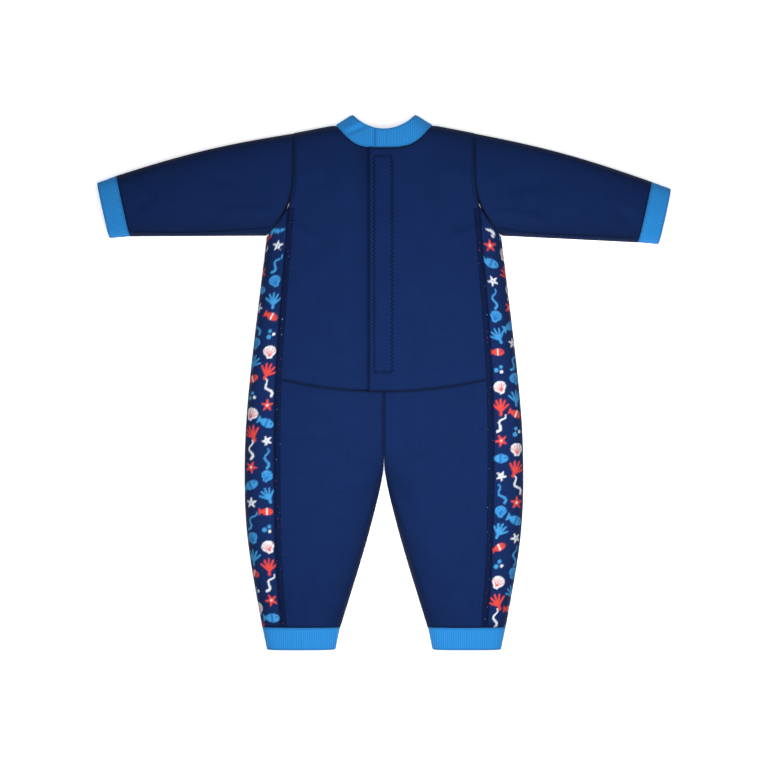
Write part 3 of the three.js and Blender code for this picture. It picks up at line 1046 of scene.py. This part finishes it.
def scallop(patch: Print, main_paint: tuple, second: tuple) -> None:
    """Paint a scallop shell with ribs.

    Args:
        patch: The patch to paint.
        main_paint: The motif's main paint.
        second: Its second paint.
    """
    patch.ellipse((0, 1), (6.5, 5.5), main_paint)
    patch.polygon([(-2.4, -6.5), (2.4, -6.5), (3.8, -2), (-3.8, -2)], main_paint)
    patch.fan((0, -4.5), 22, (8, 9), (0.4, 0.4), second)


def bubble_ring(patch: Print, main_paint: tuple, second: tuple) -> None:
    """Paint three bubbles in a triangle.

    Args:
        patch: The patch to paint.
        main_paint: The motif's main paint.
        second: Its second paint.
    """
    for x, y, radius, paint in (
        (-2.6, -1.6, 2.2, main_paint),
        (2.6, -1.0, 1.5, second),
        (0.4, 3.2, 1.8, main_paint),
    ):
        patch.ellipse((x, y), (radius, radius), paint)


def weed(patch: Print, main_paint: tuple, second: tuple) -> None:
    """Paint a waving ribbon of weed.

    Args:
        patch: The patch to paint.
        main_paint: The motif's main paint.
        second: Its second paint; not used.
    """
    wave = [(2.4 * math.sin(step * 1.1), -10 + 2.5 * step) for step in range(9)]
    patch.stroke(wave, (1.3, 0.6), main_paint)


# The motifs in the order that they follow one another: which, its paints and its size.
ROUND: tuple[tuple[Callable, tuple, tuple, float], ...] = (
    (plain_fish, SKY, BLUE, 1.15),
    (sea_star, CORAL, FOAM, 1.0),
    (weed, FOAM, FOAM, 1.0),
    (coral_fan, CORAL, CORAL, 1.05),
    (scallop, FOAM, CORAL, 1.05),
    (bubble_ring, SKY, FOAM, 1.1),
    (plain_fish, CORAL, FOAM, 0.95),
    (coral_fan, SKY, SKY, 1.0),
    (scallop, SKY, BLUE, 0.95),
    (weed, SKY, SKY, 1.05),
    (sea_star, FOAM, SKY, 0.85),
)


@dataclass(frozen=True)
class SeaPrint:
    """A half-drop layout: each column of motifs starts half a step above the one before."""

    step: float = 19.0
    column: float = 17.0
    first: float = -272.0
    rows: int = 24
    columns: int = 5
    stride: int = 4  # how far on in the round the next column's motifs are
    tilt: float = 24.0
    patch: float = 16.0
    top: float = 164.0

    def paint(self, piece: bpy.types.Object, outward: np.ndarray, along: np.ndarray, side: int) -> None:
        """Paint a side panel's own colour attribute.

        Args:
            piece: The side panel.
            outward: Distance out from the panel's front seam, and on round its fold, in millimetres.
            along: Distance up the suit in millimetres.
            side: -1 for the right panel, 1 for the left one.
        """
        colours = np.tile(np.array(GROUND), (len(outward), 1))
        for column in range(self.columns):
            for row in range(self.rows):
                draw, hue, second, size = ROUND[(row + self.stride * column + side) % len(ROUND)]
                u = side * (outward - (column + 0.5) * self.column)
                v = along - self.first - (row + 0.5 * (column % 2)) * self.step
                near = (np.abs(u) < self.patch) & (np.abs(v) < self.patch)
                if near.any():
                    turn = math.radians(self.tilt * (row % 3 - 1))
                    c, s = math.cos(turn) / size, math.sin(turn) / size
                    patch = Print(colours[near], u[near] * c + v[near] * s, v[near] * c - u[near] * s, size)
                    draw(patch, hue, second)
                    colours[near] = patch.colours
        colours[along > self.top] = GROUND
        attribute = piece.data.color_attributes.new("print", "FLOAT_COLOR", "POINT")
        attribute.data.foreach_set("color", colours.ravel())


@dataclass
class SidePanel(Panel):
    """A printed side panel, which wraps round the suit's side fold."""

    side: int = 1
    sea: SeaPrint = SeaPrint()

    def build(self) -> None:
        """Shape the cloth finely enough to carry its print."""
        self.cut()
        refine(self.piece, self.levels)
        soften_edges(self.piece, self.edge)
        cut_edges(self.piece, Direction.ALONG, 2.5, 5)
        cut_edges(self.piece, Direction.ACROSS, 1.2, 1)
        points = points_of(self.piece)
        rows, seam, fold = self.outline(points)
        reach = np.interp(points[:, 1], rows, fold)
        start = np.interp(points[:, 1], rows, seam)
        inset = reach - np.abs(points[:, 0])
        rise = points[:, 2] - FOLD_RADIUS
        turn = np.arctan2(rise, np.maximum(FOLD_RADIUS - inset, 0.01))
        flat = np.sign(rise) * (FOLD_RADIUS * (math.pi / 2 - 1) + inset)
        across = np.where(inset < FOLD_RADIUS, FOLD_RADIUS * turn, flat)
        fold_line = reach - start + FOLD_RADIUS * (math.pi / 2 - 1)
        self.sea.paint(self.piece, fold_line - across, points[:, 1], self.side)
        DRAPE.lay(self.piece)
        smooth(self.piece)

    def outline(self, points: np.ndarray) -> tuple[np.ndarray, np.ndarray, np.ndarray]:
        """Read where the front seam and the side fold lie, up the panel.

        Args:
            points: The finely divided panel's points, in millimetres.

        Returns:
            The levels, and the seam's and the fold's distance from the middle at each.
        """
        reach = np.abs(points[:, 0])
        upper = points[:, 2] > FOLD_RADIUS
        rows, seam, fold = [], [], []
        for level in np.arange(points[:, 1].min() + 3, points[:, 1].max() - 3, 4.0):
            here = np.abs(points[:, 1] - level) < 2.5
            if (here & upper).any():
                rows.append(level)
                seam.append(reach[here & upper].min())
                fold.append(reach[here].max())
        return np.array(rows), np.array(seam), np.array(fold)


@dataclass
class KnitPiece(Panel):
    """A ribbed knit cuff or collar, whose ribs run out from its seam."""

    ribs_along: tuple[float, float] = (0.0, 1.0)
    pitch: float = 2.3
    depth: float = 0.28
    cuts: int = 2

    def build(self) -> None:
        """Shape the knit and raise its ribs."""
        self.cut()
        refine(self.piece, self.levels)
        soften_edges(self.piece, self.edge)
        activate(self.piece)
        bpy.ops.object.mode_set(mode="EDIT")
        bpy.ops.mesh.select_all(action="SELECT")
        bpy.ops.mesh.subdivide(number_cuts=1)
        bpy.ops.object.mode_set(mode="OBJECT")
        points = points_of(self.piece)
        angle = math.atan2(self.ribs_along[1], self.ribs_along[0])
        around = -points[:, 0] * math.sin(angle) + points[:, 1] * math.cos(angle)
        low, high = around.min(), around.max()
        inset = np.minimum(around - low, high - around)
        turn = np.arccos(np.clip(1 - inset / FOLD_RADIUS, -1, 1)) * FOLD_RADIUS
        reach = np.where(inset < FOLD_RADIUS, turn, FOLD_RADIUS * (math.pi / 2 - 1) + inset)
        rib = 0.5 + 0.5 * np.cos(2 * math.pi * reach / self.pitch)
        normals = np.empty(len(points) * 3)
        self.piece.data.vertex_normals.foreach_get("vector", normals)
        normals = normals.reshape(-1, 3)
        off_floor = smooth_step((points[:, 2] - 0.2) / 3)
        points += normals * (self.depth * (rib - 0.5) * off_floor)[:, None]
        set_points(self.piece, points)
        mark(self.piece, "rib", rib)
        DRAPE.lay(self.piece)
        smooth(self.piece)


# ---- Stitching, laid on the finished cloth ----


def height_over(pieces: list[bpy.types.Object]) -> Callable[[float, float], float]:
    """Find the cloth's upper surface over a place.

    Args:
        pieces: The cloth pieces to look down on.

    Returns:
        A function from a place in millimetres to the height of the cloth there.
    """
    trees = [BVHTree.FromObject(piece, bpy.context.evaluated_depsgraph_get()) for piece in pieces]

    def height(x: float, y: float) -> float:
        """Find the highest cloth at a place.

        Args:
            x: The place across the suit, in millimetres.
            y: The place up the suit, in millimetres.

        Returns:
            The cloth's height there, or 0 where there is none.
        """
        best = 0.0
        for tree in trees:
            hit, _, _, _ = tree.ray_cast(Vector((x * MM, y * MM, 0.2)), Vector((0, 0, -1)))
            if hit is not None:
                best = max(best, hit.z / MM)
        return best

    return height


@dataclass
class StitchRun:
    """A row of stitches: one thread that swings from side to side along a path."""

    node: str
    body: Body
    finish: bpy.types.Material
    path: list[tuple[float, float]]
    swing: float
    pitch: float
    thread: float
    under: list[bpy.types.Object]
    bend: Bend | None = None

    def build(self) -> None:
        """Lay the thread on the cloth."""
        height = height_over(self.under)
        route = np.array(self.path, float)
        steps = np.linalg.norm(np.diff(route, axis=0), axis=1)
        reach = np.concatenate([[0], np.cumsum(steps)])
        count = max(2, int(reach[-1] / self.pitch * 2))
        places = []
        for i in range(count + 1):
            at = reach[-1] * i / count
            x, y = np.interp(at, reach, route[:, 0]), np.interp(at, reach, route[:, 1])
            leg = min(int(np.searchsorted(reach, at, side="right")) - 1, len(steps) - 1)
            unit = (route[leg + 1] - route[leg]) / steps[leg]
            side = self.swing * (0.5 if i % 2 else -0.5)
            x, y = x - unit[1] * side, y + unit[0] * side
            places.append((x, y, height(x, y) + self.thread * 0.55))
        curve = bpy.data.curves.new(f"{self.node}_thread", "CURVE")
        curve.dimensions = "3D"
        curve.bevel_depth = self.thread * MM / 2
        curve.bevel_resolution = 1
        curve.use_fill_caps = True
        spline = curve.splines.new("POLY")
        spline.points.add(len(places) - 1)
        for point, place in zip(spline.points, places):
            point.co = (*(value * MM for value in place), 1.0)
        piece = bpy.data.objects.new(f"{self.node}_thread", curve)
        bpy.context.scene.collection.objects.link(piece)
        activate(piece)
        bpy.ops.object.convert(target="MESH")
        piece = bpy.context.object
        piece.data.materials.clear()
        piece.data.materials.append(self.finish)
        nodes = (self.node,) if self.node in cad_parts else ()
        place_piece(piece, self.body, self.bend, nodes, Cloth.THREAD)


@dataclass
class OverlockBand:
    """The dark overlocked band beside a side seam: a low strip of crossing threads, whose dark is partly the
    thread's own and partly painted shade of the seam's groove.
    """

    name: str
    finish: bpy.types.Material
    under: list[bpy.types.Object]
    bend: Bend
    top: float = 186.0
    foot: float = -262.0
    width: float = 6.4
    rise: float = 0.35
    thread_step: float = 1.6
    across: int = 6

    def build(self) -> None:
        """Lay the band on the cloth."""
        nodes = (f"{self.name}_lower", f"{self.name}_upper")
        height = height_over(self.under)
        levels, middle = (np.concatenate(both) for both in zip(*(centre_line(node) for node in nodes)))
        length = self.top - self.foot
        rows = int(length / (self.thread_step / 3))
        deselect_all()
        bpy.ops.mesh.primitive_grid_add(x_subdivisions=self.across, y_subdivisions=rows, size=1)
        piece = bpy.context.object
        piece.name = f"{self.name}_band"
        points = points_of(piece) * MM
        share = points[:, 0] + 0.5
        y = self.foot + (points[:, 1] + 0.5) * length
        lean = (middle[-1] - middle[-4]) / (levels[-1] - levels[-4])
        x = np.interp(y, levels, middle) + np.maximum(y - levels[-1], 0) * lean
        x += (share - 0.5) * self.width
        ridges = 0.5 + 0.5 * np.cos(2 * math.pi * y / self.thread_step + 2.2 * share)
        crown = np.sqrt(np.clip(1 - (2 * share - 1) ** 2, 0, 1))
        ground = np.array([height(a, b) for a, b in zip(x, y)])
        z = ground + 0.05 + crown * (self.rise + 0.2 * ridges)
        set_points(piece, np.column_stack([x, y, z]))
        activate(piece)
        body = piece.modifiers.new("body", "SOLIDIFY")
        body.thickness = 0.35 * MM
        body.offset = -1
        bpy.ops.object.modifier_apply(modifier=body.name)
        smooth(piece)
        piece.data.materials.append(self.finish)
        place_piece(piece, self.bend.other, self.bend, nodes, Cloth.THREAD)


def centre_line(node: str) -> tuple[np.ndarray, np.ndarray]:
    """Read a stitching ribbon's middle line from the frame.

    Args:
        node: The ribbon's node.

    Returns:
        Its levels up the suit, and its distance across at each, in millimetres.
    """
    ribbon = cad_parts[node]
    points = points_of(ribbon)
    rows = np.unique(np.round(points[:, 1], 0))
    middle = np.array([points[np.abs(points[:, 1] - row) < 1.5, 0].mean() for row in rows])
    return rows, middle


# ---- The whole suit ----


@dataclass
class Wetsuit:
    """The suit's panels, knits, prints and seams."""

    fold_legs: Bend = Bend(Body.LEGS, (0, -10.6, 0), (0, -36, 0))
    open_flap: Bend = Bend(Body.FLAP, (20, 0, 0), (9, 0, 0))
    fold_left: Bend = Bend(Body.SLEEVE_LEFT, (127.5, 0, 0), (150, 0, 0))
    fold_right: Bend = Bend(Body.SLEEVE_RIGHT, (-127.5, 0, 0), (-150, 0, 0))
    pieces: dict[str, Panel] = field(default_factory=dict)
    navy: bpy.types.Material | None = field(default=None, init=False)

    def add(self, panel: Panel) -> None:
        """Build one panel and keep it by its name."""
        panel.build()
        panel.dress()
        self.pieces[panel.name] = panel

    def build_body(self) -> None:
        """Cut the body, the placket and the legs."""
        self.navy = navy = KnitFacedNeoprene("neoprene_jersey_navy", "#08214f", "#061b45").build()
        self.add(Panel("back_panel", Body.TORSO, navy))
        self.add(Panel("front_panel_right", Body.TORSO, navy))
        self.add(Panel("front_panel_left", Body.TORSO, navy, bend=self.open_flap))
        self.add(Panel("placket_flap", Body.FLAP, navy, bend=self.open_flap))
        self.add(Panel("placket_foot", Body.TORSO, navy))
        for hand in ("left", "right"):
            self.add(Panel(f"leg_front_{hand}", Body.LEGS, navy, bend=self.fold_legs))
            self.add(Panel(f"leg_back_{hand}", Body.LEGS, navy, bend=self.fold_legs))

    def build_sleeves(self) -> None:
        """Cut the sleeves, each from its two halves."""
        for hand, bend, body in (
            ("left", self.fold_left, Body.SLEEVE_LEFT),
            ("right", self.fold_right, Body.SLEEVE_RIGHT),
        ):
            fold_at = math.copysign(SLEEVE_FOLD, bend.start[0])
            self.add(
                Panel(
                    f"sleeve_{hand}",
                    body,
                    self.navy,
                    bend=bend,
                    held="folded",
                    halves=("upper", "lower"),
                    weld=(0, fold_at, 1.2),
                )
            )

    def build_sides(self) -> None:
        """Cut the printed side panels."""
        printed = KnitFacedNeoprene(
            "neoprene_jersey_sea_print", "#14295c", "#0e1c44", painted=True
        ).build()
        for hand, side in (("left", 1), ("right", -1)):
            self.add(
                SidePanel(
                    f"side_panel_{hand}",
                    Body.LEGS,
                    printed,
                    Cloth.PRINTED,
                    2,
                    bend=self.fold_legs,
                    held="folded",
                    halves=("upper", "lower"),
                    weld=(1, WAIST_AT_SIDES, 0.6),
                    tip=(1, 172.0, 1.1, 1.0, 0.56),
                    side=side,
                )
            )

    def build_knits(self) -> None:
        """Knit the collar and the cuffs."""
        knit = RibKnit().build()
        run_on = (0, 44.0, 0.3, 0.2, 0.0)
        self.add(KnitPiece("collar", Body.TORSO, knit, Cloth.KNIT, 2, held="folded", tip=run_on))
        self.add(KnitPiece("collar_flap_end", Body.FLAP, knit, Cloth.KNIT, 2))
        for hand, side, body in (("left", 1, Body.SLEEVE_LEFT), ("right", -1, Body.SLEEVE_RIGHT)):
            along = (side * math.cos(SLEEVE_SLOPE), -math.sin(SLEEVE_SLOPE))
            self.add(
                KnitPiece(f"wrist_cuff_{hand}", body, knit, Cloth.KNIT, 3, held="folded", ribs_along=along)
            )
            self.add(KnitPiece(f"ankle_cuff_{hand}", Body.LEGS, knit, Cloth.KNIT, 3, held="folded"))

    def build_fastening(self) -> None:
        """Lay the hook and loop tapes inside the placket."""
        pile = FastenerPile().build()
        self.add(Panel("hook_tape", Body.FLAP, pile, Cloth.TAPE, 2, 0.3))
        self.add(Panel("loop_tape", Body.TORSO, pile, Cloth.TAPE, 2, 0.3))

    def build_stitching(self) -> None:
        """Sew the visible seams."""
        thread = SeamThread().build()
        # The side seams' dark band: partly overlock thread, partly painted shade of the seam's groove.
        overlock = Overlock().build()
        flap = self.pieces["placket_flap"].piece
        low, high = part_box("placket_stitching")
        inset = 1.5
        x0, x1 = low[0] / MM + inset, high[0] / MM - inset
        y0, y1 = low[1] / MM + inset, high[1] / MM - inset
        box = [(x0, y0), (x1, y0), (x1, y1), (x0, y1), (x0, y0)]
        StitchRun(
            "placket_stitching", Body.FLAP, thread, box, 2.8, 4.3, 1.05, [flap], bend=self.open_flap
        ).build()
        levels, middle = centre_line("centre_seam_stitching")
        legs = [self.pieces[f"leg_front_{hand}"].piece for hand in ("left", "right")]
        StitchRun(
            "centre_seam_stitching",
            Body.LEGS,
            thread,
            list(zip(middle, levels)),
            0.8,
            3.2,
            0.45,
            legs,
            bend=self.fold_legs,
        ).build()
        for hand in ("left", "right"):
            front = self.pieces[f"front_panel_{hand}"].piece
            leg = self.pieces[f"leg_front_{hand}"].piece
            levels, middle = centre_line(f"armhole_stitching_{hand}")
            path = list(zip(middle, levels))
            StitchRun(f"armhole_stitching_{hand}", Body.TORSO, thread, path, 0.9, 3.4, 0.45, [front]).build()
            side = self.pieces[f"side_panel_{hand}"].piece
            OverlockBand(f"side_stitching_{hand}", overlock, [front, leg, side], self.fold_legs).build()
            sleeve = self.pieces[f"sleeve_{hand}"]
            StitchRun(
                f"underarm_seam_{hand}",
                sleeve.body,
                thread,
                UNDERARM_SEAMS[hand],
                0.35,
                2.2,
                0.9,
                [sleeve.piece],
                bend=sleeve.bend,
            ).build()


@dataclass(frozen=True)
class Studio:
    """A white table that shines a little itself, soft light from above, and a camera straight above."""

    view_width: float = 829.0
    distance: float = 3000.0
    sensor: float = 36.0
    aim_y: float = -2.2

    def build(self) -> None:
        """Set the stage."""
        deselect_all()
        bpy.ops.mesh.primitive_plane_add(size=8.0, location=(0, 0, -0.0004))
        table = bpy.context.object
        table.name = "table"
        material, tree, shader = new_material("white_card")
        shader.inputs["Base Color"].default_value = linear("#fdfdfd")
        shader.inputs["Roughness"].default_value = 0.9
        shader.inputs["Emission Color"].default_value = (1, 1, 1, 1)
        shader.inputs["Emission Strength"].default_value = 0.6
        table.data.materials.append(material)
        self.light("window", (0.05, -0.07, 0.56), 0.5, 5.2)
        sky = bpy.data.lights.new("sky", "SUN")
        sky.energy = 0.35
        sky.angle = math.radians(50)
        holder = bpy.data.objects.new("sky", sky)
        bpy.context.scene.collection.objects.link(holder)
        bpy.context.scene.view_settings.view_transform = "Standard"
        world = bpy.data.worlds.new("studio")
        bpy.context.scene.world = world
        world.use_nodes = True
        world.node_tree.nodes["Background"].inputs["Color"].default_value = (1, 1, 1, 1)
        world.node_tree.nodes["Background"].inputs["Strength"].default_value = 0.2
        camera = bpy.data.cameras.new("camera")
        camera.sensor_width = self.sensor
        camera.lens = self.sensor * self.distance / self.view_width
        camera.clip_end = 20.0
        holder = bpy.data.objects.new("camera", camera)
        holder.location = (0.0, self.aim_y * MM, self.distance * MM)
        bpy.context.scene.collection.objects.link(holder)
        bpy.context.scene.camera = holder

    def light(self, name: str, place: tuple[float, float, float], size: float, power: float) -> None:
        """Add a soft light that looks straight down.

        Args:
            name: The light's name.
            place: Where it hangs, in metres.
            size: Its side, in metres.
            power: Its power, in watts.
        """
        lamp = bpy.data.lights.new(name, "AREA")
        lamp.size = size
        lamp.energy = power
        holder = bpy.data.objects.new(name, lamp)
        holder.location = place
        bpy.context.scene.collection.objects.link(holder)


def main() -> None:
    """Build the studio and the suit."""
    logging.basicConfig(level=logging.INFO, format="%(name)s: %(message)s")
    Studio().build()
    suit = Wetsuit()
    suit.build_body()
    suit.build_sleeves()
    suit.build_sides()
    suit.build_knits()
    suit.build_fastening()
    suit.build_stitching()


if __name__ == "__main__":
    main()
